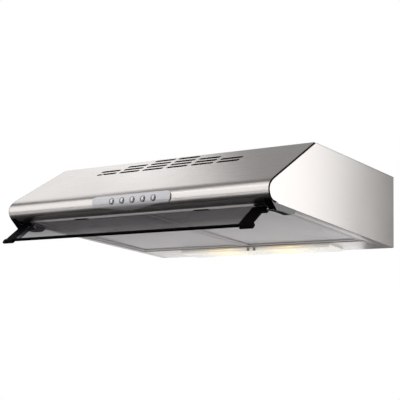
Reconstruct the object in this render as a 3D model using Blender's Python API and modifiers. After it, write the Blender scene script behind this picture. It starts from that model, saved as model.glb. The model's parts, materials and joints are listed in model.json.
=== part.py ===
"""Under cabinet range hood, 600 mm wide, with a tilting visor, push buttons, filters, lamps and a blower.

Metres, +Z up, +X to the right, -Y towards the cook. The origin is the middle of the flat top face, which
screws up against the bottom of a wall cabinet.
"""

import math

import bmesh
import bpy
from mathutils import Matrix, Vector

# ---------------------------------------------------------------- driving dimensions
WIDTH = 0.600            # outside width
DEPTH = 0.518            # wall face to the front of the nose
HEIGHT = 0.150           # top face to the rear bottom edge
TOP_DEPTH = 0.357        # flat top, wall face to the fold
NOSE_R = 0.021           # outside radius of the rounded nose
NOSE_H = 0.038           # nose centre above the rear bottom edge
LIP_D = 0.487            # where the wrap's bottom lip turns up
SHEET = 0.001            # steel sheet
GAP = 0.0003             # clearance between touching pieces
SEAM = 0.0014            # width of the black seam trim
WALL_Y = TOP_DEPTH / 2   # world y of the wall face

NOSE_D = DEPTH - NOSE_R
HALF_W = WIDTH / 2
NOSE_ARC_STEPS = 16

# visor
PIVOT_D = 0.490          # visor axis, from the wall
PIVOT_H = 0.007          # visor axis, above the rear bottom edge
VISOR_DROP = math.radians(39.0)
ARM_X = (0.256, 0.281)
CHEEK_X = (0.2862, 0.2997)
VISOR_TOP = 0.0075       # visor face above its axis
VISOR_REACH = 0.0555     # glass front edge from the axis

# underside
FLANGE_X = 0.280
FILTER_U = (0.098, 0.483)
FILTER_V = (0.0010, 0.0090)
LAMP_U = (0.0015, 0.095)
COVER_X = 0.190
COVER_U = (0.012, 0.075)
COVER_WALL = 0.002
COVER_HINGE = (0.0122, -0.0020)   # u and v of the cover's hinge line

# blower
FAN_X = 0.135
FAN_D = 0.172
DUCT_D = 0.102
DUCT_R = 0.0595          # spigot outside radius, for a 120 mm duct
BLADES = 20
PIN_Z = 0.0135           # damper pin above the top face

# controls
BUTTON_X = [-0.033, -0.009, 0.015, 0.039, 0.063]
BUTTON_R = 0.0056

# vent slots: distance of each row below the fold, and how many slots it has
SLOT_LENGTH = 0.050
SLOT_WIDTH = 0.0090
SLOT_PITCH = 0.058
SLOT_ROWS = [(0.009, 2), (0.0255, 4), (0.041, 6), (0.0565, 6)]

# mains cable gland
GLAND_X = -0.210
GLAND_D = 0.038

slope_reach = Vector((NOSE_D - TOP_DEPTH, NOSE_H - HEIGHT))
SLOPE = -math.atan2(slope_reach.y, slope_reach.x) - math.asin(NOSE_R / slope_reach.length)
TILT = math.atan2(NOSE_H, NOSE_D) - math.asin(NOSE_R / math.hypot(NOSE_H, NOSE_D))


# ---------------------------------------------------------------- scene and materials
def clear_scene():
    for obj in list(bpy.data.objects):
        bpy.data.objects.remove(obj, do_unlink=True)


def new_collection(name):
    collection = bpy.data.collections.new(name)
    bpy.context.scene.collection.children.link(collection)
    return collection


clear_scene()
PARTS = new_collection("under_cabinet_range_hood")
CUTTERS = new_collection("cutters")


def material(name, colour, roughness, metallic=0.0, alpha=1.0):
    mat = bpy.data.materials.new(name)
    mat.use_nodes = True
    shader = mat.node_tree.nodes["Principled BSDF"]
    shader.inputs["Base Color"].default_value = (*colour, 1.0)
    shader.inputs["Roughness"].default_value = roughness
    shader.inputs["Metallic"].default_value = metallic
    shader.inputs["Alpha"].default_value = alpha
    mat.diffuse_color = (*colour, alpha)
    return mat


STEEL = material("brushed_steel", (0.62, 0.61, 0.60), 0.3, 1.0)
ZINC = material("zinc_plate", (0.55, 0.56, 0.58), 0.45, 1.0)
ALUMINIUM = material("filter_aluminium", (0.66, 0.66, 0.67), 0.4, 1.0)
BLACK = material("black_plastic", (0.012, 0.012, 0.013), 0.35)
GREY = material("grey_plastic", (0.25, 0.25, 0.26), 0.5)
SILVER = material("silver_plastic", (0.60, 0.60, 0.63), 0.35, 0.5)
WHITE = material("white_plastic", (0.78, 0.78, 0.75), 0.4)
SMOKE = material("smoked_glass", (0.05, 0.05, 0.06), 0.05, 0.0, 0.5)
OPAL = material("opal_diffuser", (0.9, 0.88, 0.82), 0.25, 0.0, 0.8)
BULB = material("bulb_glass", (1.0, 0.85, 0.55), 0.1, 0.0, 0.7)
RUBBER = material("black_rubber", (0.015, 0.015, 0.015), 0.7)
MOTOR_STEEL = material("motor_steel", (0.35, 0.33, 0.30), 0.5, 0.8)
CABLE = material("cable_sheath", (0.6, 0.6, 0.58), 0.5)


# ---------------------------------------------------------------- shape helpers
def yz(d, h):
    """World y and z of a point d from the wall and h above the rear bottom edge."""
    return WALL_Y - d, h - HEIGHT


def empty(name, d, h, turn):
    """A frame whose -Y runs forward and whose +Z is up, turned about X."""
    frame = bpy.data.objects.new(name, None)
    PARTS.objects.link(frame)
    frame.location = (0.0, *yz(d, h))
    frame.rotation_euler = (turn, 0.0, 0.0)
    return frame


def add(name, mesh, mat, parent=None):
    """Put a mesh in the scene; without a material it is a cutter or a piece to join on."""
    obj = bpy.data.objects.new(name, mesh)
    if mat is None:
        CUTTERS.objects.link(obj)
        obj.hide_render = True
        obj.display_type = "WIRE"
    else:
        PARTS.objects.link(obj)
        mesh.materials.append(mat)
    obj.parent = parent
    return obj


def from_bmesh(name, bm, mat, parent=None):
    mesh = bpy.data.meshes.new(name)
    bm.to_mesh(mesh)
    bm.free()
    return add(name, mesh, mat, parent)


def smooth(obj, angle=35.0):
    obj.data.shade_smooth()
    obj.data.set_sharp_from_angle(angle=math.radians(angle))


def box(name, x, y, z, mat=None, parent=None, bevel=0.0, segments=2):
    """A box between two limits on each axis of its parent's frame."""
    bm = bmesh.new()
    bmesh.ops.create_cube(bm, size=1.0)
    size = Vector((x[1] - x[0], y[1] - y[0], z[1] - z[0]))
    centre = Vector((x[0] + x[1], y[0] + y[1], z[0] + z[1])) / 2
    bmesh.ops.scale(bm, vec=size, verts=bm.verts)
    bmesh.ops.translate(bm, vec=centre, verts=bm.verts)
    obj = from_bmesh(name, bm, mat, parent)
    if bevel:
        round_edges(obj, bevel, segments)
    return obj


def shelf(name, x, u, v, mat=None, parent=None, bevel=0.0, segments=2):
    """A box in a frame whose -Y runs forward: u is the distance forward, v the height."""
    return box(name, x, (-u[1], -u[0]), v, mat, parent, bevel, segments)


AXES = {"X": Matrix.Rotation(math.pi / 2, 4, "Y"), "Y": Matrix.Rotation(-math.pi / 2, 4, "X"), "Z": Matrix()}


def rod(name, r, axis, start, length, mat=None, parent=None, segments=24, r_end=None):
    """A cylinder or cone from a start point along one axis."""
    bm = bmesh.new()
    top = r if r_end is None else r_end
    bmesh.ops.create_cone(bm, cap_ends=True, segments=segments, radius1=r, radius2=top, depth=length)
    bmesh.ops.translate(bm, vec=(0, 0, length / 2), verts=bm.verts)
    bmesh.ops.transform(bm, matrix=Matrix.Translation(start) @ AXES[axis], verts=bm.verts)
    obj = from_bmesh(name, bm, mat, parent)
    smooth(obj)
    return obj


def turned(name, profile, axis, start, mat=None, parent=None, steps=32):
    """A profile of (radius, height) pairs, top to bottom down its outer side, turned about an axis."""
    bm = bmesh.new()
    verts = [bm.verts.new((r, 0.0, h)) for r, h in profile]
    for a, b in zip(verts, verts[1:]):
        bm.edges.new((a, b))
    obj = from_bmesh(name, bm, mat, parent)
    obj.matrix_local = Matrix.Translation(start) @ AXES[axis]
    screw = obj.modifiers.new("turn", "SCREW")
    screw.steps = steps
    screw.render_steps = steps
    screw.use_merge_vertices = True
    screw.merge_threshold = 0.00002
    screw.use_smooth_shade = True
    return obj


def plate(name, points, thickness, mat=None, parent=None, place=Matrix(), hole=None):
    """A flat outline given a thickness; place carries its plane (local XY) to where it belongs."""
    curve = bpy.data.curves.new(name, "CURVE")
    curve.dimensions = "2D"
    curve.fill_mode = "BOTH"
    curve.extrude = thickness / 2
    for outline in [points] + ([hole] if hole else []):
        spline = curve.splines.new("POLY")
        spline.points.add(len(outline) - 1)
        for point, (x, y) in zip(spline.points, outline):
            point.co = (x, y, 0.0, 1.0)
        spline.use_cyclic_u = True
    guide = bpy.data.objects.new(name + "_outline", curve)
    CUTTERS.objects.link(guide)
    bpy.context.view_layer.update()
    mesh = bpy.data.meshes.new_from_object(guide.evaluated_get(bpy.context.evaluated_depsgraph_get()))
    bpy.data.objects.remove(guide, do_unlink=True)
    bm = bmesh.new()
    bm.from_mesh(mesh)
    bmesh.ops.remove_doubles(bm, verts=bm.verts, dist=0.000005)
    bmesh.ops.recalc_face_normals(bm, faces=bm.faces)
    bmesh.ops.transform(bm, matrix=place, verts=bm.verts)
    if bm.calc_volume(signed=True) < 0:
        bmesh.ops.reverse_faces(bm, faces=bm.faces)
    bm.to_mesh(mesh)
    bm.free()
    mesh.name = name
    mesh.materials.clear()
    return add(name, mesh, mat, parent)


def side_plane(x):
    """Carries an outline of (d, h) points into the world, as a plate centred on x."""
    return Matrix(((0, 0, 1, x), (-1, 0, 0, WALL_Y), (0, 1, 0, -HEIGHT), (0, 0, 0, 1)))


def visor_plane(x):
    """Carries an outline of (forward, up) points into the visor's frame, centred on x."""
    return Matrix(((0, 0, 1, x), (-1, 0, 0, 0), (0, 1, 0, 0), (0, 0, 0, 1)))


def level(h):
    """Carries an outline of (x, d) points into the world, as a plate centred h above the bottom edge."""
    return Matrix(((1, 0, 0, 0), (0, -1, 0, WALL_Y), (0, 0, -1, h - HEIGHT), (0, 0, 0, 1)))


def arc(centre, r, start, end, steps):
    """Points along an arc, angles in degrees."""
    out = []
    for i in range(steps + 1):
        a = math.radians(start + (end - start) * i / steps)
        out.append((centre[0] + r * math.cos(a), centre[1] + r * math.sin(a)))
    return out


def rounded(x, y, r, steps=4):
    """A rectangle with round corners, as an outline."""
    corners = [(x[1] - r, y[1] - r, 0), (x[0] + r, y[1] - r, 90), (x[0] + r, y[0] + r, 180),
               (x[1] - r, y[0] + r, 270)]
    out = []
    for cx, cy, a in corners:
        out += arc((cx, cy), r, a, a + 90, steps)
    return out


def boolean(obj, other, operation):
    step = obj.modifiers.new(operation.lower(), "BOOLEAN")
    step.operation = operation
    step.object = other
    step.solver = "EXACT"


def cut(obj, *cutters):
    for cutter in cutters:
        boolean(obj, cutter, "DIFFERENCE")


def join(obj, *others):
    for other in others:
        boolean(obj, other, "UNION")


def round_edges(obj, width, segments=2):
    bevel = obj.modifiers.new("round", "BEVEL")
    bevel.width = width
    bevel.segments = segments
    bevel.limit_method = "ANGLE"
    bevel.angle_limit = math.radians(40)


def merged(name, objs, parent=None):
    """Several separate cutters as one cutter object."""
    bm = bmesh.new()
    for obj in objs:
        bm.from_mesh(obj.data)
        bpy.data.objects.remove(obj, do_unlink=True)
    return from_bmesh(name, bm, None, parent)


def cable(name, points, r, mat):
    """A fixed internal cable along hand-chosen points, given as (x, d, h), smoothed between them."""
    route = [Vector((x, *yz(d, h))) for x, d, h in points]
    ends = [route[0] * 2 - route[1]] + route + [route[-1] * 2 - route[-2]]
    smooth_route = []
    for i in range(1, len(ends) - 2):
        for k in range(3):
            t = k / 3
            a, b, c, e = ends[i - 1], ends[i], ends[i + 1], ends[i + 2]
            smooth_route.append(0.5 * (2 * b + (c - a) * t + (2 * a - 5 * b + 4 * c - e) * t * t
                                       + (3 * b - a - 3 * c + e) * t * t * t))
    smooth_route.append(route[-1])
    curve = bpy.data.curves.new(name, "CURVE")
    curve.dimensions = "3D"
    curve.bevel_depth = r
    curve.bevel_resolution = 2
    curve.use_fill_caps = True
    spline = curve.splines.new("POLY")
    spline.points.add(len(smooth_route) - 1)
    for point, co in zip(spline.points, smooth_route):
        point.co = (*co, 1.0)
    curve.materials.append(mat)
    obj = bpy.data.objects.new(name, curve)
    PARTS.objects.link(obj)
    return obj


# ---------------------------------------------------------------- the body's outline
def fold_point(offset, top_offset):
    """Where the flat top meets the slope, both set inwards, as (d, h)."""
    start = Vector((TOP_DEPTH, HEIGHT)) - offset * Vector((math.sin(SLOPE), math.cos(SLOPE)))
    along = (start.y - (HEIGHT - top_offset)) / math.sin(SLOPE)
    return start.x + along * math.cos(SLOPE), HEIGHT - top_offset


def nose_points(offset, steps=NOSE_ARC_STEPS):
    return arc((NOSE_D, NOSE_H), NOSE_R - offset, 90 - math.degrees(SLOPE), math.degrees(TILT) - 90, steps)


def under_point(d, offset):
    """A point on the underside line, set inwards."""
    return d, d * math.tan(TILT) + offset / math.cos(TILT)


UNDER = empty("underside", 0.0, 0.0, -TILT)
VISOR = empty("visor_axis", PIVOT_D, PIVOT_H, VISOR_DROP)


def both_sides():
    return [("left", -1.0), ("right", 1.0)]


def span(side, a, b):
    """An x interval on one side of the hood."""
    return tuple(sorted((side * a, side * b)))


# ---------------------------------------------------------------- casing
def front_panel():
    """Slope, rounded nose and bottom lip, bent from one sheet, with vent slots and a control window."""
    profile = [(TOP_DEPTH - 0.012, HEIGHT)]
    profile.append(fold_point(0.0, 0.0))
    profile += nose_points(0.0)
    profile.append(under_point(LIP_D, 0.0))
    profile.append((LIP_D, under_point(LIP_D, 0.0)[1] + 0.010))
    bm = bmesh.new()
    verts = [bm.verts.new((-HALF_W, *yz(d, h))) for d, h in profile]
    edges = [bm.edges.new(pair) for pair in zip(verts, verts[1:])]
    swept = bmesh.ops.extrude_edge_only(bm, edges=edges)
    far_end = [v for v in swept["geom"] if isinstance(v, bmesh.types.BMVert)]
    bmesh.ops.translate(bm, vec=(WIDTH, 0, 0), verts=far_end)
    bm.normal_update()
    top_face = max(bm.faces, key=lambda face: face.calc_center_median().z)
    if top_face.normal.z < 0:
        bmesh.ops.reverse_faces(bm, faces=bm.faces)
    panel = from_bmesh("front_panel", bm, STEEL)
    shell = panel.modifiers.new("sheet", "SOLIDIFY")
    shell.thickness = SHEET
    shell.offset = -1.0
    shell.use_even_offset = True
    cut(panel, vent_cutter(), window_cutter())
    for _, side in both_sides():
        cut(panel, shelf("lip_notch", span(side, 0.2960, 0.3050), (LIP_D - 0.0010, LIP_D + 0.0030),
                         (0.00115, 0.020),
                         None, UNDER))
    smooth(panel)
    return panel


def vent_cutter():
    """Rows of long vent slots under the fold; each row has more slots than the one above it."""
    slots = []
    for s, count in SLOT_ROWS:
        for i in range(count):
            x = (i - (count - 1) / 2) * SLOT_PITCH
            d = TOP_DEPTH + s * math.cos(SLOPE)
            h = HEIGHT - s * math.sin(SLOPE)
            place = Matrix.Translation((x, *yz(d, h))) @ Matrix.Rotation(SLOPE, 4, "X")
            outline = rounded((-SLOT_LENGTH / 2, SLOT_LENGTH / 2), (-SLOT_WIDTH / 2, SLOT_WIDTH / 2),
                              SLOT_WIDTH / 2.01, 3)
            slots.append(plate("slot", outline, 0.006, None, None, place))
    return merged("vent_slots", slots)


def window_cutter():
    y_front, z_mid = yz(DEPTH + 0.004, NOSE_H)
    return box("control_window", (-0.044, 0.074), (y_front, y_front + 0.020), (z_mid - 0.008, z_mid + 0.008))


def top_panel():
    """Flat top with the duct hole, four keyhole screw slots and the cable hole."""
    y_front, _ = yz(TOP_DEPTH - 0.012 - GAP, HEIGHT)
    panel = box("top_panel", (-HALF_W, HALF_W), (y_front, WALL_Y), (-SHEET, 0.0), STEEL)
    y_duct, _ = yz(DUCT_D, HEIGHT)
    holes = [rod("duct_hole", DUCT_R + 0.0012, "Z", (0, y_duct, -0.01), 0.02, segments=32)]
    for x in (-0.255, 0.255):
        for d in (0.070, 0.290):
            outline = rounded((x - 0.004, x + 0.004), (d - 0.012, d + 0.012), 0.0039, 4)
            holes.append(plate("keyhole", outline, 0.02, None, None, level(HEIGHT)))
    holes.append(rod("gland_hole", 0.0092, "Z", (GLAND_X, yz(GLAND_D, 0)[0], -0.01), 0.02))
    cut(panel, *holes)


def rear_panel():
    panel = box("rear_panel", (-HALF_W + SHEET + GAP, HALF_W - SHEET - GAP), (WALL_Y - SHEET, WALL_Y),
                (-HEIGHT, -SHEET - GAP), STEEL)
    for x in (-0.180, 0.180):
        cut(panel, rod("wall_hole", 0.004, "Y", (x, WALL_Y - 0.01, -0.040), 0.02, segments=16))


def side_panels():
    """Flat side with a bottom flange turned in and up; the front edge is set back for the seam trim."""
    set_back = SHEET + 2 * GAP + SEAM
    outline = [under_point(0.0, SHEET / 2), (0.0, HEIGHT - SHEET - GAP), fold_point(set_back, SHEET + GAP)]
    outline += nose_points(set_back)
    outline += [under_point(0.4915, set_back), under_point(0.4915, SHEET + GAP)]
    outline += [under_point(0.4865, SHEET + GAP), under_point(0.4865, SHEET / 2)]
    for name, side in both_sides():
        panel = plate("side_panel_" + name, outline, SHEET, STEEL, None,
                      side_plane(side * (HALF_W - SHEET / 2)))
        flange = shelf("flange", span(side, FLANGE_X, HALF_W - 0.0002), (0.0016, 0.4865), (0.0, SHEET),
                       None, UNDER)
        lip = shelf("flange_lip", span(side, FLANGE_X + 0.0002, FLANGE_X + 0.0012), (0.0018, 0.4860),
                    (0.0002, 0.012), None,
                    UNDER)
        join(panel, flange, lip)


def seam_trims():
    """Black gasket strip between each side and the front wrap, along the slope and round the nose."""
    outer = SHEET + GAP
    inner = outer + SEAM
    for name, side in both_sides():
        outline = [fold_point(outer, outer)] + nose_points(outer) + [under_point(0.4920, outer)]
        back = [fold_point(inner, outer)] + nose_points(inner) + [under_point(0.4920, inner)]
        outline += list(reversed(back))
        plate("seam_trim_" + name, outline, 0.0030, RUBBER, None, side_plane(side * (HALF_W - 0.0017)))


# ---------------------------------------------------------------- underside
def lamp_panel():
    """Rear strip of the underside with the lamp opening and an upstand along its front edge."""
    panel = shelf("lamp_panel", (-0.2795, 0.2795), LAMP_U, (0.0, SHEET), STEEL, UNDER)
    upstand = shelf("upstand", (-0.2795, 0.2795), (LAMP_U[1] - SHEET, LAMP_U[1]), (0.0, 0.015), None, UNDER)
    back = shelf("rear_upstand", (-0.2795, 0.2795), (LAMP_U[0], LAMP_U[0] + SHEET), (0.0, 0.012), None,
                 UNDER)
    join(panel, upstand, back)
    cut(panel, shelf("lamp_opening", (-0.182, 0.182), (0.018, 0.069), (-0.01, 0.004), None, UNDER))


def lamp_unit():
    """Reflector tray over the opening, two lamp holders with bulbs, the opal cover and its two clips."""
    tray = shelf("lamp_tray", (-0.186, 0.186), (0.015, 0.072), (SHEET + GAP, 0.040), ZINC, UNDER)
    cut(tray, shelf("tray_inside", (-0.185, 0.185), (0.016, 0.071), (-0.01, 0.039), None, UNDER))
    axis_u = 0.0435
    axis_v = 0.0200
    for name, side in both_sides():
        outer, inner = 0.1845, 0.130
        start = (side * inner if side > 0 else -outer, -axis_u, axis_v)
        holder = rod("lamp_holder_" + name, 0.013, "X", start, outer - inner, WHITE, UNDER, 20)
        cut(holder, rod("holder_bore", 0.0105, "X", (side * inner - 0.012, -axis_u, axis_v), 0.024, None,
                        UNDER, 20))
        bulb(name, side, inner, axis_u, axis_v)
    hinge = empty("lamp_cover_axis", 0.0, 0.0, 0.0)
    hinge.parent = UNDER
    hinge.location = (0, -COVER_HINGE[0], COVER_HINGE[1])
    local_u = (COVER_U[0] - COVER_HINGE[0], COVER_U[1] - COVER_HINGE[0])
    cover = shelf("lamp_cover", (-COVER_X, COVER_X), local_u, (-0.0030, 0.0016), OPAL, hinge, 0.0018)
    cut(cover, shelf("cover_inside", (-COVER_X + COVER_WALL, COVER_X - COVER_WALL),
                     (local_u[0] + COVER_WALL, local_u[1] - COVER_WALL), (-0.0015, 0.01), None, hinge))
    for name, side in both_sides():
        shelf("lamp_clip_" + name, span(side, 0.0050, 0.0105), (COVER_U[1] + GAP, COVER_U[1] + 0.0040),
                     (-0.0058, -0.0004), BLACK, UNDER, 0.0008)


def bulb(name, side, inner, axis_u, axis_v):
    """A small candle lamp: screw cap in the holder and a round-ended glass."""
    profile = [(0.0, 0.086), (0.006, 0.084), (0.0115, 0.077), (0.0150, 0.066), (0.0165, 0.052),
               (0.0155, 0.038),
               (0.0125, 0.024), (0.0095, 0.014), (0.0085, 0.010), (0.0085, -0.009), (0.004, -0.0105),
               (0.0, -0.011)]
    obj = turned("bulb_" + name, profile, "Z", (0, 0, 0), BULB, UNDER, 16)
    turn = Matrix.Rotation(-side * math.pi / 2, 4, "Y")
    obj.matrix_local = Matrix.Translation((side * (inner - GAP), -axis_u, axis_v)) @ turn


def filters():
    """Two grease filter cassettes side by side: frame, mesh pad and a sprung thumb latch."""
    u0, u1 = FILTER_U
    v0, v1 = FILTER_V
    rim = 0.013
    for name, side in both_sides():
        x = span(side, 0.0008, FLANGE_X - 0.0012)
        hinge = empty("filter_axis_" + name, 0.0, 0.0, 0.0)
        hinge.parent = UNDER
        hinge.location = (0, -(u0 + 0.0005), v0 + 0.0022)
        local_u = (-0.0005, u1 - u0 - 0.0005)
        local_v = (-0.0022, v1 - v0 - 0.0022)
        frame = shelf("filter_frame_" + name, x, local_u, local_v, ALUMINIUM, hinge)
        opening_x = (x[0] + rim, x[1] - rim)
        opening_u = (local_u[0] + rim, local_u[1] - rim)
        opening = shelf("filter_opening", opening_x, opening_u, (-0.02, 0.02), None, hinge)
        groove = shelf("mesh_groove", (opening_x[0] - 0.004, opening_x[1] + 0.004),
                       (opening_u[0] - 0.004, opening_u[1] + 0.004),
                       (local_v[0] + 0.0012, local_v[0] + 0.0038),
                       None, hinge)
        middle = side * (FLANGE_X / 2)
        latch_slot = shelf("latch_slot", (middle - 0.0154, middle + 0.0154),
                           (local_u[1] - 0.0105, local_u[1] + 0.01),
                           (-0.02, local_v[1] - 0.0012), None, hinge)
        cut(frame, opening, groove, latch_slot)
        shelf("filter_mesh_" + name, (opening_x[0] - 0.0036, opening_x[1] + 0.0036),
              (opening_u[0] - 0.0036, opening_u[1] + 0.0036), (local_v[0] + 0.0015, local_v[0] + 0.0035),
              ALUMINIUM, hinge)
        latch = shelf("filter_latch_" + name, (middle - 0.0150, middle + 0.0150),
                      (local_u[1] - 0.0060, local_u[1] + 0.0015), (local_v[0] - 0.0012, local_v[1] - 0.0016),
                      BLACK, hinge, 0.0008)
        grip = shelf("thumb_hollow", (middle - 0.0110, middle + 0.0110),
                     (local_u[1] - 0.0042, local_u[1] - 0.0008),
                     (local_v[0] - 0.01, local_v[0] + 0.0008), None, hinge)
        cut(latch, grip)
    shelf("filter_centre_rail", (-0.006, 0.006), (LAMP_U[1] + GAP, 0.4845),
          (FILTER_V[1] + 0.0045, FILTER_V[1] + 0.0057),
          STEEL, UNDER)
    rail = shelf("filter_front_rail", (-0.2785, 0.2785), (0.4850, 0.4850 + SHEET), (0.0016, 0.026),
                 STEEL, UNDER)
    ledge = shelf("rail_ledge", (-0.2785, 0.2785), (0.4640, 0.4858), (0.0250, 0.026), None, UNDER)
    join(rail, ledge)


# ---------------------------------------------------------------- visor
def hinge_brackets():
    """Bracket under each front corner: a cheek beside the visor arm and a top plate over its knuckle."""
    nose_outline = arc((NOSE_D, NOSE_H), NOSE_R + GAP, -49, math.degrees(TILT) - 90, 6)
    cheek_outline = nose_outline + [under_point(0.4235, -GAP), (0.4235, 0.0128), (0.4300, 0.0078),
                                    (0.4362, 0.0048),
                                    (0.4460, 0.0042), (0.4600, 0.0048), (0.4760, 0.0052), (0.4930, 0.0046)]
    for name, side in both_sides():
        cheek = plate("hinge_bracket_" + name, cheek_outline, CHEEK_X[1] - CHEEK_X[0], BLACK, None,
                      side_plane(side * sum(CHEEK_X) / 2))
        join(cheek, shelf("bracket_top", span(side, 0.2580, 0.2910), (0.4848, 0.4968),
                          (-0.0033, -0.0005), None, UNDER))
        y, z = yz(PIVOT_D, PIVOT_H)
        cut(cheek, rod("pin_bore", 0.0023, "X", (side * 0.29225 - 0.00725, y, z), 0.0145, segments=20))
        profile = [(0.0, 0.0432), (0.0020, 0.0432), (0.0020, 0.0330), (0.0036, 0.0330), (0.0036, 0.0292),
                   (0.0020, 0.0292), (0.0020, 0.0035), (0.0038, 0.0030), (0.0038, 0.0008), (0.0030, 0.0),
                   (0.0, 0.0)]
        pin = turned("hinge_pin_" + name, profile, "Z", (0, 0, 0), ZINC, None, 12)
        turn = Matrix.Rotation(side * math.pi / 2, 4, "Y")
        pin.matrix_local = Matrix.Translation((side * 0.2525, y, z)) @ turn


def visor():
    """Two tapering arms with feet, the smoked pane between them and the black front rail."""
    top = VISOR_TOP
    knuckle = arc((0, 0), 0.0056, -20, -262, 14)
    arm_outline = [(0.0005, top), (0.0590, top), (0.0590, 0.0042), (0.0520, 0.0042), (0.0130, 0.0032),
                   (0.0080, 0.0004)]
    arm_outline += knuckle
    foot_outline = [(0.0550, top), (0.0620, top), (0.0660, 0.0042), (0.0625, 0.0004), (0.0545, 0.0012),
                    (0.0530, 0.0046)]
    for name, side in both_sides():
        middle = side * (ARM_X[0] + ARM_X[1]) / 2
        arm = plate("visor_arm_" + name, arm_outline, ARM_X[1] - ARM_X[0], BLACK, VISOR, visor_plane(middle))
        foot = plate("foot", foot_outline, 0.0250, None, VISOR, visor_plane(side * 0.2720))
        ledge = shelf("glass_ledge", span(side, 0.2500, ARM_X[0] + 0.002), (0.0130, 0.0548),
                      (0.0022, 0.0040), None, VISOR)
        join(arm, foot, ledge)
        cut(arm, rod("knuckle_bore", 0.0023, "X", (middle - 0.02, 0, 0), 0.04, None, VISOR, 20))
    glass_x = ARM_X[0] - GAP
    shelf("visor_glass", (-glass_x, glass_x), (-0.0030, VISOR_REACH), (top - 0.0030, top), SMOKE, VISOR,
          0.0003, 1)
    rail = shelf("visor_rail", (-0.2612, 0.2612), (VISOR_REACH + GAP, 0.0605), (0.0030, top + 0.0004),
                 BLACK, VISOR, 0.0010)
    for name, side in both_sides():
        cut(rail, shelf("rail_end", span(side, ARM_X[0] - GAP, 0.3), (0.0, 0.0700), (-0.01, 0.02), None,
                        VISOR))


# ---------------------------------------------------------------- controls
def bezel_outline():
    """Front view of the bezel as (x, h): round ends and a shallow bulge under the buttons."""
    x0, x1 = -0.080, 0.100
    top, bottom, bulge = 0.0500, 0.0282, 0.0208
    r = 0.0095
    out = arc((x1 - r, top - r), r, 0, 90, 5) + arc((x0 + r, top - r), r, 90, 180, 5)
    out += arc((x0 + r, bottom + r), r, 180, 270, 5)
    for i in range(9):
        t = i / 8
        x = -0.066 + t * 0.144
        out.append((x, bottom - (bottom - bulge) * math.sin(math.pi * t) ** 1.3))
    out += arc((x1 - r, bottom + r), r, 270, 360, 5)
    return out


def controls():
    """Silver bezel over the nose, five round push buttons, the switch block behind and its bracket."""
    r_out = NOSE_R + 0.0021
    band_points = arc((NOSE_D, NOSE_H), r_out, 40, -56, 14) + arc((NOSE_D, NOSE_H), NOSE_R + GAP, -56,
                                                                  40, 14)
    bezel = plate("control_bezel", band_points, 0.200, SILVER, None, side_plane(0.010))
    front = Matrix(((1, 0, 0, 0), (0, 0, 1, WALL_Y - DEPTH), (0, 1, 0, -HEIGHT), (0, 0, 0, 1)))
    boolean(bezel, plate("bezel_shape", bezel_outline(), 0.060, None, None, front), "INTERSECT")
    y_front, z = yz(DEPTH + 0.0038, NOSE_H)
    for i, x in enumerate(BUTTON_X):
        cut(bezel, rod("button_hole", BUTTON_R + 0.0004, "Y", (x, y_front - 0.01, z), 0.03, segments=20))
        profile = [(0.0, 0.0180), (0.0028, 0.0180), (0.0028, 0.0110), (BUTTON_R, 0.0108), (BUTTON_R, 0.0012),
                   (0.0047, 0.0003), (0.0035, 0.0), (0.0, 0.0002)]
        turned("push_button_%d" % (i + 1), profile, "Y", (x, y_front, z), SILVER, None, 20)
    block_y = yz(0.5055, 0)[0]
    block = box("switch_block", (-0.046, 0.076), (block_y, block_y + 0.0165), (z - 0.007, z + 0.007),
                WHITE, None, 0.0006, 1)
    for x in BUTTON_X:
        cut(block, rod("switch_bore", 0.0033, "Y", (x, block_y - 0.01, z), 0.017, segments=16))
    plate_y = block_y + 0.0165 + GAP
    bracket = box("switch_bracket", (-0.050, 0.080), (plate_y, plate_y + SHEET), (z - 0.0100, z + 0.018),
                  ZINC)
    top = box("bracket_fold", (-0.050, 0.080), (plate_y - 0.0120, plate_y + SHEET),
              (z + 0.0170, z + 0.018), None)
    join(bracket, top)


# ---------------------------------------------------------------- blower and duct
def spiral(r_start, r_end, steps=18, start=200.0, end=450.0):
    """The scroll wall around the fan axis as (x, d) points, growing from the tongue to the outlet."""
    out = []
    for i in range(steps + 1):
        t = i / steps
        a = math.radians(start + (end - start) * t)
        r = r_start + (r_end - r_start) * t
        out.append((FAN_X + r * math.cos(a), FAN_D - r * math.sin(a)))
    return out


def scroll_outline(inset):
    """Spiral plus the outlet chamber under the duct collar."""
    left = -0.068 + inset
    out = spiral(0.085 - inset, 0.134 - inset)
    rear_d = FAN_D - 0.134 + inset
    front_d = FAN_D - 0.002 - inset
    out += [(left + 0.010, rear_d), (left + 0.003, rear_d + 0.003), (left, rear_d + 0.010)]
    out += [(left, front_d - 0.010), (left + 0.003, front_d - 0.003), (left + 0.010, front_d)]
    return out


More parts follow.
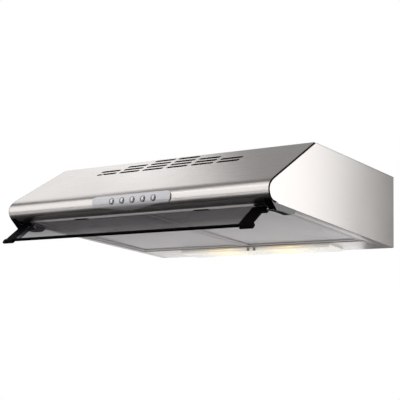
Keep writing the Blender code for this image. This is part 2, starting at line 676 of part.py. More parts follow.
def blower():
    """Scroll housing, inlet plate, wheel, motor, cradle and run capacitor."""
    y, _ = yz(FAN_D, 0)
    scroll = plate("scroll_housing", scroll_outline(0.0), 0.0750, GREY, None, level(0.1075))
    inside = plate("scroll_inside", scroll_outline(0.002), 0.0750, None, None, level(0.1055))
    duct_y, _ = yz(DUCT_D, 0)
    outlet = rod("scroll_outlet", 0.0575, "Z", (0, duct_y, -0.02), 0.03, segments=32)
    cut(scroll, inside, outlet)
    inlet = plate("inlet_plate", scroll_outline(0.0), 0.0020, GREY, None, level(0.0687))
    ring_base = rod("bell_ring", 0.0600, "Z", (FAN_X, y, 0.0680 - HEIGHT), 0.0100, segments=32)
    join(inlet, ring_base)
    cut(inlet, rod("inlet_eye", 0.0580, "Z", (FAN_X, y, 0.0600 - HEIGHT), 0.03, segments=32))
    wheel(y)
    motor_profile = [(0.0, 0.1280), (0.0410, 0.1280), (0.0430, 0.1250), (0.0430, 0.0880), (0.0410, 0.0850),
                     (0.0140, 0.0840), (0.0140, 0.0642), (0.0, 0.0642)]
    motor = turned("motor_body", motor_profile, "Z", (FAN_X, y, -HEIGHT), MOTOR_STEEL, None, 20)
    cut(motor, rod("motor_bearing", 0.0043, "Z", (FAN_X, y, 0.1180 - HEIGHT), 0.02, segments=20))
    shaft = rod("motor_shaft", 0.0040, "Z", (0, 0, 0), 0.0210, ZINC, None, 20)
    shaft.location = (FAN_X, y, 0.1190 - HEIGHT)
    cradle = rod("motor_cradle", 0.0260, "Z", (FAN_X, y, 0.0620 - HEIGHT), 0.0020, ZINC, None, 32)
    for k in range(3):
        spoke_turn = Matrix.Rotation(math.radians(30 + 120 * k), 4, "Z")
        turn = Matrix.Translation((FAN_X, y, 0.0630 - HEIGHT)) @ spoke_turn
        arm = box("cradle_arm", (0.010, 0.078), (-0.006, 0.006), (-0.001, 0.001))
        arm.matrix_local = turn
        pad = box("cradle_pad", (0.064, 0.078), (-0.006, 0.006), (-0.001, 0.0043))
        pad.matrix_local = turn
        join(cradle, arm, pad)
    can = [(0.0, 0.052), (0.013, 0.052), (0.0145, 0.0505), (0.0145, 0.0015), (0.013, 0.0), (0.0, 0.0)]
    turned("capacitor", can, "X", (-0.150, yz(0.030, 0)[0], 0.128 - HEIGHT), WHITE, None, 28)


def wheel(y):
    """Forward-curved fan wheel: back plate with a hub, a ring of leaning blades and an inlet ring."""
    plate_h = 0.1380
    profile = [(0.0, plate_h + 0.0040), (0.0100, plate_h + 0.0040), (0.0100, plate_h + 0.0015),
               (0.0750, plate_h + 0.0015),
               (0.0750, plate_h), (0.0120, plate_h), (0.0110, 0.1300), (0.0, 0.1300)]
    impeller = turned("impeller", profile, "Z", (FAN_X, y, -HEIGHT), GREY, None, 28)
    blades = []
    for k in range(BLADES):
        blade = box("blade", (0.0630, 0.0745), (-0.0006, 0.0006), (0.0795, plate_h + 0.0005))
        turn = Matrix.Rotation(2 * math.pi * k / BLADES, 4, "Z")
        to_blade = Matrix.Translation((0.0690, 0, 0))
        lean = to_blade @ Matrix.Rotation(math.radians(28), 4, "Z") @ to_blade.inverted()
        blade.data.transform(turn @ lean)
        blades.append(blade)
    fan = merged("blades", blades)
    fan.location = (FAN_X, y, -HEIGHT)
    ring = rod("wheel_ring", 0.0750, "Z", (FAN_X, y, 0.0790 - HEIGHT), 0.0030, segments=32)
    eye = rod("wheel_eye", 0.0640, "Z", (FAN_X, y, 0.0700 - HEIGHT), 0.0200, segments=32)
    cut(ring, eye)
    join(impeller, fan, ring)
    cut(impeller, rod("hub_bore", 0.0043, "Z", (FAN_X, y, 0.1290 - HEIGHT), 0.0115, segments=20))


def duct():
    """Outlet collar with a stop ledge, two half-round damper flaps and the pin they hang on."""
    y, _ = yz(DUCT_D, 0)
    collar = rod("outlet_collar", DUCT_R, "Z", (0, y, -0.0037), 0.0387, GREY, None, 32)
    flange = rod("collar_flange", 0.0740, "Z", (0, y, -0.0037), 0.0024, segments=32)
    join(collar, flange)
    cut(collar, rod("collar_bore", 0.0580, "Z", (0, y, PIN_Z - 0.0008), 0.05, segments=32))
    cut(collar, rod("ledge_bore", 0.0548, "Z", (0, y, -0.02), 0.05, segments=32))
    cut(collar, rod("pin_hole", 0.0018, "X", (-0.0590, y, PIN_Z), 0.118, segments=16))
    rod("damper_pin", 0.0015, "X", (-0.0585, y, PIN_Z), 0.117, ZINC, None, 16)
    for name, side, knuckle_x in (("front", -1.0, 0.036), ("rear", 1.0, 0.020)):
        half = arc((0.0, 0.0), 0.0562, 6, 174, 14)
        outline = [(x, side * max(v, 0.0036)) for x, v in half]
        hinge = bpy.data.objects.new("damper_axis_" + name, None)
        PARTS.objects.link(hinge)
        hinge.location = (0, y, PIN_Z)
        flap = plate("damper_flap_" + name, outline, 0.0010, GREY, hinge)
        for x in (-knuckle_x, knuckle_x):
            curl = rod("knuckle", 0.0030, "X", (x - 0.005, 0, 0), 0.010, None, hinge, 16)
            web = box("web", (x - 0.005, x + 0.005), tuple(sorted((side * 0.0022, side * 0.0060))),
                      (-0.0005, 0.0005), None, hinge)
            join(flap, curl, web)
        cut(flap, rod("curl_bore", 0.0018, "X", (-0.05, 0, 0), 0.10, None, hinge, 16))


# ---------------------------------------------------------------- wiring
def wiring():
    """Terminal box with its lid, cable gland in the top, and the fixed internal cables."""
    y0, _ = yz(0.062, 0)
    shell = box("terminal_box", (-0.250, -0.170), (y0, y0 + 0.048), (0.100 - HEIGHT, 0.1462 - HEIGHT),
                WHITE, None, 0.0015)
    cut(shell, box("terminal_inside", (-0.248, -0.172), (y0 - 0.01, y0 + 0.046),
                   (0.102 - HEIGHT, 0.1442 - HEIGHT)))
    cut(shell, rod("gland_entry", 0.0092, "Z", (GLAND_X, yz(GLAND_D, 0)[0], -0.012), 0.02))
    box("terminal_lid", (-0.250, -0.170), (y0 - 0.0023, y0 - GAP), (0.100 - HEIGHT, 0.1462 - HEIGHT),
        WHITE, None, 0.0006, 1)
    gland = rod("cable_gland", 0.0088, "Z", (GLAND_X, yz(GLAND_D, 0)[0], -0.0080), 0.0100, BLACK, None, 24)
    nut = rod("gland_nut", 0.0120, "Z", (GLAND_X, yz(GLAND_D, 0)[0], GAP), 0.0080, segments=6)
    dome = rod("gland_dome", 0.0100, "Z", (GLAND_X, yz(GLAND_D, 0)[0], 0.0078), 0.0060, None, None, 24,
               0.0070)
    join(gland, nut, dome)
    cut(gland, rod("gland_bore", 0.0042, "Z", (GLAND_X, yz(GLAND_D, 0)[0], -0.03), 0.06, segments=20))
    r = 0.0030
    cable("motor_cable", [(-0.180, 0.034, 0.0965), (-0.170, 0.036, 0.072), (-0.120, 0.044, 0.056),
                          (-0.020, 0.070, 0.052),
                          (0.070, FAN_D - 0.050, 0.051), (0.118, FAN_D - 0.012, 0.052),
                          (0.133, FAN_D - 0.001, 0.0575)], r, CABLE)
    cable("switch_cable", [(-0.235, 0.068, 0.112), (-0.240, 0.085, 0.110), (-0.235, 0.130, 0.118),
                           (-0.200, 0.220, 0.125),
                           (-0.150, 0.320, 0.122), (-0.095, 0.400, 0.092), (-0.030, 0.446, 0.066),
                           (0.005, 0.470, 0.054),
                           (0.014, 0.4845, 0.0515)], r, CABLE)
    cable("lamp_cable", [(-0.235, 0.034, 0.0965), (-0.236, 0.034, 0.080), (-0.225, 0.036, 0.058),
                         (-0.205, 0.040, 0.045),
                         (-0.1905, 0.043, 0.030)], r, CABLE)


top_panel()
rear_panel()
front_panel()
side_panels()
seam_trims()
lamp_panel()
lamp_unit()
filters()
hinge_brackets()
visor()
controls()
blower()
duct()
wiring()
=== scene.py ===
"""Looks of the under cabinet range hood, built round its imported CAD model.

Metres, in the model's own frame: +X right, -Y towards the cook, +Z up, origin on the top face.
"d" is a distance forward from the wall face, "h" a height above the rear bottom edge.
"""

import json
import math

import bmesh
import bpy
from mathutils import Matrix, Vector


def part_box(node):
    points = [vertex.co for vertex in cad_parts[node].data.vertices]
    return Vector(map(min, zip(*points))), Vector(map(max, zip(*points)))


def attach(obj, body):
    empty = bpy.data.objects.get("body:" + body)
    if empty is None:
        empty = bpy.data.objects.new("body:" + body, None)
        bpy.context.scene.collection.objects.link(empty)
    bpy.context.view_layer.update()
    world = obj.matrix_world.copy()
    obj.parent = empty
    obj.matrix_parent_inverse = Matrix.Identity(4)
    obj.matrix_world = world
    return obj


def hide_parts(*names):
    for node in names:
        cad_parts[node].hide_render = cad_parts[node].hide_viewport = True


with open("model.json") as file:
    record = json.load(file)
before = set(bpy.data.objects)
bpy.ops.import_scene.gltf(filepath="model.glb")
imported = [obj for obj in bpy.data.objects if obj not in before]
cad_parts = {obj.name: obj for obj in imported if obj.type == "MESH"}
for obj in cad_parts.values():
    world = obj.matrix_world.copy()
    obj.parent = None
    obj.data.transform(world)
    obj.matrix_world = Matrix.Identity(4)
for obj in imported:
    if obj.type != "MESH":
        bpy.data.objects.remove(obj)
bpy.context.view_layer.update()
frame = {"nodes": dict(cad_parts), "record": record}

# ---------------------------------------------------------------- sizes
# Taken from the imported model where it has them, otherwise as in the CAD.
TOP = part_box("top_panel")
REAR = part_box("rear_panel")
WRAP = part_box("front_panel")
HALF_W = TOP[1].x
WALL_Y = REAR[1].y
HEIGHT = TOP[1].z - REAR[0].z
DEPTH = WALL_Y - WRAP[0].y
TOP_DEPTH = 0.357
SHEET = 0.001
GAP = 0.0003            # between touching sheets
SEAM = 0.0014           # thickness of the black strip between the slope and the ends
NOSE_R = 0.021
NOSE_H = 0.038
NOSE_D = DEPTH - NOSE_R
LIP_D = 0.487           # rear face of the lip under the nose
FLANGE_X = 0.280        # inner edge of the side sheet's bottom flange
STRIP = 0.0012          # how far the black strip laps over each end of the front sheet
STRIP_D = 0.4920        # where the strip ends under the nose
SIDE_D = 0.4915         # where the side sheet's lower edge steps up to clear the front sheet
FLANGE_D = 0.4865       # front end of the side sheet's bottom flange
EASE = 0.0110           # length of slope that bends into the nose
EASE_TO = 12.0          # angle above level, in degrees, where the nose becomes round

# vent slots: distance of each row below the fold, and how many slots it has
SLOT_ROWS = [(0.009, 2), (0.0255, 4), (0.041, 6), (0.0565, 6)]
SLOT_LENGTH = 0.050
SLOT_WIDTH = 0.0090
SLOT_PITCH = 0.058
SLOTS_ABOVE = -0.040    # every slot is above this z and within this x
SLOTS_WITHIN = 0.20

PIVOT_D = 0.490         # visor axis
PIVOT_H = 0.007
VISOR_DROP = math.radians(39)
ARM_X = (0.256, 0.281)  # visor arm, and below its foot, ledge and bracket cheek
VISOR_TOP = 0.0075      # visor face above its axis
VISOR_REACH = 0.0555    # pane's front edge from the axis
KNUCKLE_R = 0.0056
FOOT_X = (0.2595, 0.2845)
LEDGE_X = (0.2500, 0.2580)
CHEEK_X = (0.2862, 0.2997)
TAIL_D = 0.4235         # rear end of the bracket
PLATE_X = (0.2580, 0.2910)   # bracket's top plate: across, forward and down from the underside
PLATE_U = (0.4848, 0.4968)
PLATE_V = (-0.0033, -0.0005)
WINDOW_X = (-0.044, 0.074)   # opening in the nose behind the buttons
BEZEL_LOW = 0.0208      # lowest point of the button plate

LAMP_X = (-0.078, 0.078)     # where the bulbs' light shows through the cover
GLOW_REACH = 0.050

slope_reach = Vector((NOSE_D - TOP_DEPTH, NOSE_H - HEIGHT))
SLOPE = -math.atan2(slope_reach.y, slope_reach.x) - math.asin(NOSE_R / slope_reach.length)
TILT = math.atan2(NOSE_H, NOSE_D) - math.asin(NOSE_R / math.hypot(NOSE_H, NOSE_D))
UNDER = Matrix.Translation((0, WALL_Y, -HEIGHT)) @ Matrix.Rotation(-TILT, 4, "X")
VISOR = Matrix.Translation((0, WALL_Y - PIVOT_D, PIVOT_H - HEIGHT)) @ Matrix.Rotation(VISOR_DROP, 4, "X")
SIDES = (("left", -1), ("right", 1))


def yz(d, h):
    return WALL_Y - d, h - HEIGHT


def rect(a, b):
    """A rectangle's outline from its two spans."""
    return [(a[0], b[0]), (a[1], b[0]), (a[1], b[1]), (a[0], b[1])]


# ---------------------------------------------------------------- material building blocks
class Finish:
    """A material with its Principled shader and short ways to add nodes."""

    def __init__(self, name):
        self.mat = bpy.data.materials.new(name)
        self.mat.use_nodes = True
        self.nodes = self.mat.node_tree.nodes
        self.links = self.mat.node_tree.links
        self.shader = self.nodes["Principled BSDF"]
        self.coords = self.nodes.new("ShaderNodeTexCoord")

    def put(self, **sockets):
        for name, value in sockets.items():
            self.shader.inputs[name.replace("_", " ")].default_value = value

    def noise(self, stretch, detail=3.0, rough=0.55):
        """Noise in object space, in metres; stretch gives the cycles per metre on each axis."""
        mapping = self.nodes.new("ShaderNodeMapping")
        mapping.inputs["Scale"].default_value = stretch
        self.links.new(self.coords.outputs["Object"], mapping.inputs["Vector"])
        noise = self.nodes.new("ShaderNodeTexNoise")
        noise.inputs["Scale"].default_value = 1.0
        noise.inputs["Detail"].default_value = detail
        noise.inputs["Roughness"].default_value = rough
        self.links.new(mapping.outputs["Vector"], noise.inputs["Vector"])
        return noise.outputs["Fac"]

    def math(self, kind, a, b=None, clamp=False):
        node = self.nodes.new("ShaderNodeMath")
        node.operation = kind
        node.use_clamp = clamp
        for socket, value in zip(node.inputs, (a, b)):
            if value is None:
                continue
            if isinstance(value, (int, float)):
                socket.default_value = value
            else:
                self.links.new(value, socket)
        return node.outputs[0]

    def spread(self, fac, low, high, start=0.3, end=0.7):
        """A factor remapped to a range."""
        node = self.nodes.new("ShaderNodeMapRange")
        node.inputs["From Min"].default_value = start
        node.inputs["From Max"].default_value = end
        node.inputs["To Min"].default_value = low
        node.inputs["To Max"].default_value = high
        self.links.new(fac, node.inputs["Value"])
        return node.outputs["Result"]

    def colours(self, fac, low, high, start=0.3, end=0.7):
        ramp = self.nodes.new("ShaderNodeValToRGB")
        ramp.color_ramp.elements[0].position = start
        ramp.color_ramp.elements[1].position = end
        ramp.color_ramp.elements[0].color = (*low, 1.0)
        ramp.color_ramp.elements[1].color = (*high, 1.0)
        self.links.new(fac, ramp.inputs["Fac"])
        return ramp.outputs["Color"]

    def feed(self, socket, output):
        self.links.new(output, self.shader.inputs[socket])

    def bump(self, height, depth, strength=1.0):
        node = self.nodes.new("ShaderNodeBump")
        node.inputs["Distance"].default_value = depth
        node.inputs["Strength"].default_value = strength
        self.links.new(height, node.inputs["Height"])
        self.links.new(node.outputs["Normal"], self.shader.inputs["Normal"])

    def edge(self, low=0.51, high=0.56):
        """0 on flat faces, 1 on outer edges, where hands and cleaning wear the surface."""
        geometry = self.nodes.new("ShaderNodeNewGeometry")
        return self.spread(geometry.outputs["Pointiness"], 0.0, 1.0, low, high)


def brushed(name, grain, colour, roughness, depth=0.0000008, tone=0.03):
    """Brushed metal: fine scratches along the grain, faint cloudy wiping marks over them."""
    finish = Finish(name)
    finish.put(Metallic=1.0)
    scratches = finish.noise(grain, 2.0, 0.5)
    smears = finish.noise((9.0, 9.0, 9.0), 3.0, 0.5)
    low = tuple(c * (1 - tone) for c in colour)
    high = tuple(min(1.0, c * (1 + tone)) for c in colour)
    finish.feed("Base Color", finish.colours(scratches, low, high))
    fine = finish.spread(scratches, roughness - 0.02, roughness + 0.03)
    finish.feed("Roughness", finish.math("ADD", fine, finish.spread(smears, -0.010, 0.012)))
    finish.bump(scratches, depth, 0.6)
    return finish.mat


def moulded(name, colour, roughness, grain=900.0, depth=0.00004, metallic=0.0, wear=1.25, coat=0.0,
            gloss=0.5):
    """Moulded plastic: a fine spark-eroded texture, slight tone changes and edges polished by handling."""
    finish = Finish(name)
    finish.put(Metallic=metallic, Coat_Weight=coat, Coat_Roughness=0.12, Specular_IOR_Level=gloss)
    speck = finish.noise((grain, grain, grain), 2.0, 0.5)
    cloud = finish.noise((14.0, 14.0, 14.0), 2.0, 0.5)
    low = tuple(c * 0.90 for c in colour)
    high = tuple(min(1.0, c * wear) for c in colour)
    worn = finish.math("MULTIPLY", finish.edge(), 0.6)
    tone = finish.math("ADD", finish.spread(cloud, 0.2, 0.5), worn)
    finish.feed("Base Color", finish.colours(tone, low, high, 0.2, 0.95))
    finish.feed("Roughness", finish.math("ADD", finish.spread(speck, roughness - 0.05, roughness + 0.06),
                                         finish.spread(cloud, -0.02, 0.03)))
    finish.bump(speck, depth, 0.35)
    return finish.mat


STEEL = brushed("steel_long_grain", (8.0, 2600.0, 2600.0), (0.668, 0.634, 0.614), 0.28)
STEEL_SIDE = brushed("steel_side_grain", (2600.0, 8.0, 2600.0), (0.695, 0.664, 0.648), 0.30, tone=0.02)
# painted shade: near-black steel for the walls of the vent slots, standing in for the shade inside them
SLOT_WALL_SHADE = brushed("steel_slot_wall_painted_shade", (900.0, 900.0, 900.0), (0.03, 0.029, 0.028), 0.6)
ZINC = brushed("zinc_spangle", (60.0, 60.0, 60.0), (0.52, 0.53, 0.55), 0.42)
ALUMINIUM = brushed("rolled_aluminium", (8.0, 1600.0, 1600.0), (0.76, 0.725, 0.742), 0.38)
# painted sheen: a lighter, glossier copy of the black moulding, given only to the brackets' outer side
# faces
BRACKET_SIDE_SHEEN = moulded("black_satin_moulding_painted_sheen", (0.014, 0.014, 0.014), 0.26, wear=2.0, gloss=0.9)
BLACK = moulded("black_moulding", (0.0015, 0.0015, 0.0015), 0.55, wear=2.0, gloss=0.02)
GREY = moulded("grey_moulding", (0.22, 0.22, 0.23), 0.48)
SILVER = moulded("silver_lacquer", (0.585, 0.575, 0.60), 0.34, 1400.0, 0.00001, 0.65, 1.08, 0.3)
CAP = moulded("button_lacquer", (0.66, 0.66, 0.68), 0.22, 1400.0, 0.00001, 0.75, 1.08, 0.5)
WHITE = moulded("white_moulding", (0.76, 0.76, 0.73), 0.40, wear=1.05)
RUBBER = moulded("black_rubber_strip", (0.003, 0.003, 0.003), 0.75, 500.0, 0.00006, wear=1.6, gloss=0.08)
CABLE = moulded("grey_sheath", (0.52, 0.52, 0.50), 0.45, wear=1.05)
MOTOR = brushed("motor_laminations", (40.0, 40.0, 1500.0), (0.30, 0.285, 0.26), 0.45)


def smoked_glass():
    """Tinted pane: clear enough to see the filters through it, with faint dust in its gloss."""
    finish = Finish("smoked_pane")
    finish.put(Base_Color=(0.020, 0.016, 0.026, 1.0), IOR=1.5, Alpha=0.52, Specular_IOR_Level=0.5)
    finish.feed("Roughness", finish.spread(finish.noise((120.0, 120.0, 120.0), 4.0, 0.6), 0.03, 0.10))
    return finish.mat


def opal_plastic():
    """Lit diffuser: milky plastic, warm where the lamps stand behind it."""
    finish = Finish("opal_diffuser")
    cloud = finish.noise((30.0, 30.0, 30.0), 2.0, 0.5)
    finish.feed("Base Color", finish.colours(cloud, (0.80, 0.79, 0.76), (0.88, 0.875, 0.85)))
    finish.feed("Roughness", finish.spread(cloud, 0.24, 0.34))
    finish.put(Transmission_Weight=0.08, IOR=1.46)
    split = finish.nodes.new("ShaderNodeSeparateXYZ")
    finish.links.new(finish.coords.outputs["Object"], split.inputs[0])
    glow = None
    for x in LAMP_X:
        off = finish.math("DIVIDE", finish.math("SUBTRACT", split.outputs["X"], x), GLOW_REACH)
        fall = finish.math("EXPONENT", finish.math("MULTIPLY", finish.math("MULTIPLY", off, off), -1.0))
        glow = fall if glow is None else finish.math("ADD", glow, fall)
    finish.feed("Emission Color", finish.colours(glow, (1.0, 0.96, 0.90), (1.0, 0.84, 0.52), 0.1, 1.0))
    finish.feed("Emission Strength", finish.spread(glow, 0.25, 0.50, 0.0, 1.0))
    return finish.mat


def lit_bulb():
    finish = Finish("lit_frosted_bulb")
    cloud = finish.noise((200.0, 200.0, 200.0), 2.0, 0.5)
    finish.feed("Base Color", finish.colours(cloud, (0.95, 0.85, 0.62), (1.0, 0.92, 0.74)))
    finish.feed("Roughness", finish.spread(cloud, 0.2, 0.3))
    finish.put(Emission_Color=(1.0, 0.72, 0.30, 1.0), Emission_Strength=3.0)
    return finish.mat


def expanded_mesh():
    """Grease filter pad: layered expanded aluminium, seen as fine diamonds with the openings between them
    painted dark as shade.
    """
    finish = Finish("expanded_aluminium_gap_shade")
    finish.put(Metallic=1.0)
    split = finish.nodes.new("ShaderNodeSeparateXYZ")
    finish.links.new(finish.coords.outputs["Object"], split.inputs[0])
    x = finish.math("MULTIPLY", split.outputs["X"], 1.0 / 0.0030)
    y = finish.math("MULTIPLY", split.outputs["Y"], 1.0 / 0.0016)
    diagonals = [finish.math("SINE", finish.math("MULTIPLY", finish.math(kind, x, y), math.pi))
                 for kind in ("ADD", "SUBTRACT")]
    strands = finish.math("MAXIMUM", *[finish.math("ABSOLUTE", wave) for wave in diagonals])
    tone = finish.noise((5.0, 5.0, 5.0), 3.0, 0.55)
    mixed = finish.math("MULTIPLY", strands, finish.spread(tone, 0.92, 1.0))
    # painted shade: the openings between the strands are coloured darker than the strands; the tone noise
    # on top is random
    finish.feed("Base Color", finish.colours(mixed, (0.50, 0.475, 0.49), (0.81, 0.775, 0.79), 0.45, 0.90))
    finish.feed("Roughness", finish.spread(tone, 0.30, 0.36))
    finish.bump(strands, 0.0001, 0.1)
    return finish.mat


SMOKE = smoked_glass()
OPAL = opal_plastic()
BULB = lit_bulb()
MESH_PAD = expanded_mesh()
CLIP = moulded("clip_moulding", (0.42, 0.39, 0.35), 0.40, wear=1.1)

NODE_FINISH = {
    "brushed_steel": STEEL, "zinc_plate": ZINC, "filter_aluminium": ALUMINIUM, "filter_mesh": MESH_PAD,
    "black_plastic": BLACK, "grey_plastic": GREY, "silver_plastic": SILVER, "white_plastic": WHITE,
    "smoked_glass": SMOKE, "opal_diffuser": OPAL, "bulb_glass": BULB, "black_rubber": RUBBER,
    "motor_steel": MOTOR, "cable_sheath": CABLE,
}
for row in frame["record"]["subparts"]:
    mesh = frame["nodes"][row["node"]].data
    mesh.materials.clear()
    is_clip = row["node"].startswith("lamp_clip")
    mesh.materials.append(CLIP if is_clip else NODE_FINISH[row["material_slot"]])


# ---------------------------------------------------------------- mesh building blocks
def arc(centre, r, start, end, steps):
    """Points along an arc, angles in degrees."""
    out = []
    for i in range(steps + 1):
        a = math.radians(start + (end - start) * i / steps)
        out.append((centre[0] + r * math.cos(a), centre[1] + r * math.sin(a)))
    return out


def softened(points, radius, steps=5):
    """A closed outline with every sharp corner replaced by an arc-like curve."""
    out = []
    count = len(points)
    for i in range(count):
        before, here, after = (Vector(points[(i + k) % count]) for k in (-1, 0, 1))
        a, b = before - here, after - here
        if a.angle(b) > math.radians(165):
            out.append(tuple(here))
            continue
        reach = min(radius, a.length * 0.45, b.length * 0.45)
        start, end = here + a.normalized() * reach, here + b.normalized() * reach
        for k in range(steps + 1):
            t = k / steps
            out.append(tuple(start * (1 - t) ** 2 + here * 2 * t * (1 - t) + end * t * t))
    return out


def prism(bm, points, low, high, place):
    """A closed outline carried between two levels; place takes (x, y, level) to the world."""
    rings = [[bm.verts.new(place(x, y, level)) for x, y in points] for level in (low, high)]
    bm.faces.new(rings[0])
    bm.faces.new(list(reversed(rings[1])))
    for i in range(len(points)):
        k = (i + 1) % len(points)
        bm.faces.new((rings[0][k], rings[0][i], rings[1][i], rings[1][k]))


def side_on(d, h, x):
    return Vector((x, *yz(d, h)))


def on_underside(x, u, v):
    return UNDER @ Vector((x, -u, v))


def on_visor(forward, up, x):
    return VISOR @ Vector((x, -forward, up))


def ring_solid(bm, profile, centre, axis, steps=64):
    """A profile of (radius, height) pairs turned about an axis into a closed skin."""
    turn = Vector((0, 0, 1)).rotation_difference(axis).to_matrix().to_4x4()
    place = Matrix.Translation(centre) @ turn
    rings = []
    for r, h in profile:
        if r < 1e-7:
            rings.append([bm.verts.new(place @ Vector((0, 0, h)))] * steps)
            continue
        rings.append([bm.verts.new(place @ Vector((r * math.cos(a), r * math.sin(a), h)))
                      for a in (2 * math.pi * k / steps for k in range(steps))])
    for low, high in zip(rings, rings[1:]):
        for k in range(steps):
            corners = []
            for vert in (low[k], low[(k + 1) % steps], high[(k + 1) % steps], high[k]):
                if vert not in corners:
                    corners.append(vert)
            if len(corners) > 2:
                bm.faces.new(corners)


def piece(name, bm, mat, body, nodes=(), bevel=0.0, segments=3, angle=32.0, cutters=()):
    """Makes a mesh a piece of the model: material, rounded edges, body, nodes it stands for."""
    bmesh.ops.recalc_face_normals(bm, faces=bm.faces)
    mesh = bpy.data.meshes.new(name)
    bm.to_mesh(mesh)
    bm.free()
    obj = bpy.data.objects.new(name, mesh)
    bpy.context.scene.collection.objects.link(obj)
    for cutter in cutters:
        step = obj.modifiers.new("cut", "BOOLEAN")
        step.operation = "DIFFERENCE"
        step.solver = "EXACT"
        step.object = cutter
    if cutters:
        settle(obj)
        for cutter in cutters:
            bpy.data.objects.remove(cutter)
    obj.data.materials.clear()
    obj.data.materials.append(mat)
    obj.data.shade_smooth()
    obj.data.set_sharp_from_angle(angle=math.radians(angle))
    if bevel:
        edge = obj.modifiers.new("edges", "BEVEL")
        edge.width = bevel
        edge.segments = segments
        edge.limit_method = "ANGLE"
        edge.angle_limit = math.radians(angle)
        edge.harden_normals = True
    if body:
        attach(obj, body)
        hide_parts(*nodes)
    return obj


def settle(obj):
    """Makes an object's modifiers part of its mesh."""
    bpy.context.view_layer.update()
    solid = bpy.data.meshes.new_from_object(obj.evaluated_get(bpy.context.evaluated_depsgraph_get()))
    obj.modifiers.clear()
    obj.data = solid


def cutter(bm):
    obj = piece("cutter", bm, None, None)
    obj.hide_render = True
    return obj


# ---------------------------------------------------------------- casing
def fold_point(offset, top_offset):
    """Where the flat top meets the slope, both set inwards."""
    start = Vector((TOP_DEPTH, HEIGHT)) - offset * Vector((math.sin(SLOPE), math.cos(SLOPE)))
    along = (start.y - (HEIGHT - top_offset)) / math.sin(SLOPE)
    return start.x + along * math.cos(SLOPE), HEIGHT - top_offset


def nose_points(offset, steps=40):
    """The nose, eased out of the slope by a longer curve above its round part."""
    centre = Vector((NOSE_D, NOSE_H))
    radius = NOSE_R - offset
    top = math.pi / 2 - SLOPE
    join = math.radians(EASE_TO)
    start = centre + radius * Vector((math.cos(top), math.sin(top)))
    start += EASE * Vector((-math.cos(SLOPE), math.sin(SLOPE)))
    end = centre + radius * Vector((math.cos(join), math.sin(join)))
    reach = radius * math.tan((top - join) / 2)
    near = start + (EASE + reach) * Vector((math.cos(SLOPE), -math.sin(SLOPE))) * 0.92
    ease = [tuple(start * (1 - t) ** 2 + near * 2 * t * (1 - t) + end * t * t)
            for t in (k / steps for k in range(steps))]
    return ease + arc(centre, radius, EASE_TO, math.degrees(TILT) - 90, steps)


def under_point(d, offset=0.0):
    return d, d * math.tan(TILT) + offset / math.cos(TILT)


def bent_fold(offset, steps=8):
    """The bend from the flat top into the slope, at a sheet offset."""
    radius = 0.0030
    d, h = fold_point(radius, radius)
    return arc((d, h), radius - offset, 90, 90 - math.degrees(SLOPE), steps)


def sheet_line(offset):
    line = [(TOP_DEPTH - 0.012, HEIGHT - offset)] + bent_fold(offset) + nose_points(offset)
    line.append(under_point(LIP_D + 0.0016, offset))
    corner = under_point(LIP_D, 0.0)
    line += arc((corner[0] + 0.0016, corner[1] + 0.0016), 0.0016 - offset, -90, -180, 5)
    line.append((LIP_D + offset, corner[1] + 0.010))
    return line


def front_wrap():
    """One bent sheet: top return, slope with its slots, rounded nose and bottom lip."""
    bm = bmesh.new()
    outline = sheet_line(0.0) + list(reversed(sheet_line(SHEET)))
    prism(bm, outline, -HALF_W + STRIP, HALF_W - STRIP, side_on)
    slots = bmesh.new()
    for s, count in SLOT_ROWS:
        for i in range(count):
            middle = (i - (count - 1) / 2) * SLOT_PITCH
            end = SLOT_LENGTH / 2 - SLOT_WIDTH / 2
            shape = arc((middle + end, 0), SLOT_WIDTH / 2, -90, 90, 8)
            shape += arc((middle - end, 0), SLOT_WIDTH / 2, 90, 270, 8)
            y, z = yz(TOP_DEPTH + s * math.cos(SLOPE), HEIGHT - s * math.sin(SLOPE))
            tilt = Matrix.Translation((0, y, z)) @ Matrix.Rotation(SLOPE, 4, "X")
            prism(slots, shape, -0.004, 0.004, lambda a, b, c: tilt @ Vector((a, b, c)))
    window = bmesh.new()
    shape = rect((DEPTH - 0.010, DEPTH + 0.004), (NOSE_H - 0.008, NOSE_H + 0.008))
    prism(window, shape, WINDOW_X[0], WINDOW_X[1], side_on)
    wrap = piece("front_wrap", bm, STEEL, "hood", ["front_panel"], 0.0, 2, 32.0,
                 [cutter(slots), cutter(window)])
    # painted shade: the walls of the vent slots take the near-black steel, so the slots read dark inside
    wrap.data.materials.append(SLOT_WALL_SHADE)
    slope_normal = Vector((0, -math.sin(SLOPE), math.cos(SLOPE)))
    for face in wrap.data.polygons:
        x, y, z = face.center
        upright = abs(face.normal.dot(slope_normal)) < 0.3
        among_slots = z > SLOTS_ABOVE and abs(x) < SLOTS_WITHIN and y < WALL_Y - TOP_DEPTH
        if upright and among_slots:
            face.material_index = 1


def edge_strips():
    """Black rubber strip over each end of the wrap: a lip across the sheet's edge and a leg inside it."""
    def below_fold(offset, top):
        return [fold_point(offset, top)] + nose_points(offset) + [under_point(STRIP_D, offset)]

    inner = SHEET + GAP
    for name, side in SIDES:
        bm = bmesh.new()
        lip = below_fold(0.0, SHEET + GAP) + list(reversed(below_fold(inner + SEAM, SHEET + GAP)))
        prism(bm, lip, side * (HALF_W - STRIP + 0.0001), side * (HALF_W - 0.0002), side_on)
        leg = below_fold(inner, inner) + list(reversed(below_fold(inner + SEAM, inner)))
        prism(bm, leg, side * (HALF_W - 0.0032), side * (HALF_W - 0.0009), side_on)
        piece("edge_strip_" + name, bm, RUBBER, "hood", ["seam_trim_" + name], 0.0002, 2)


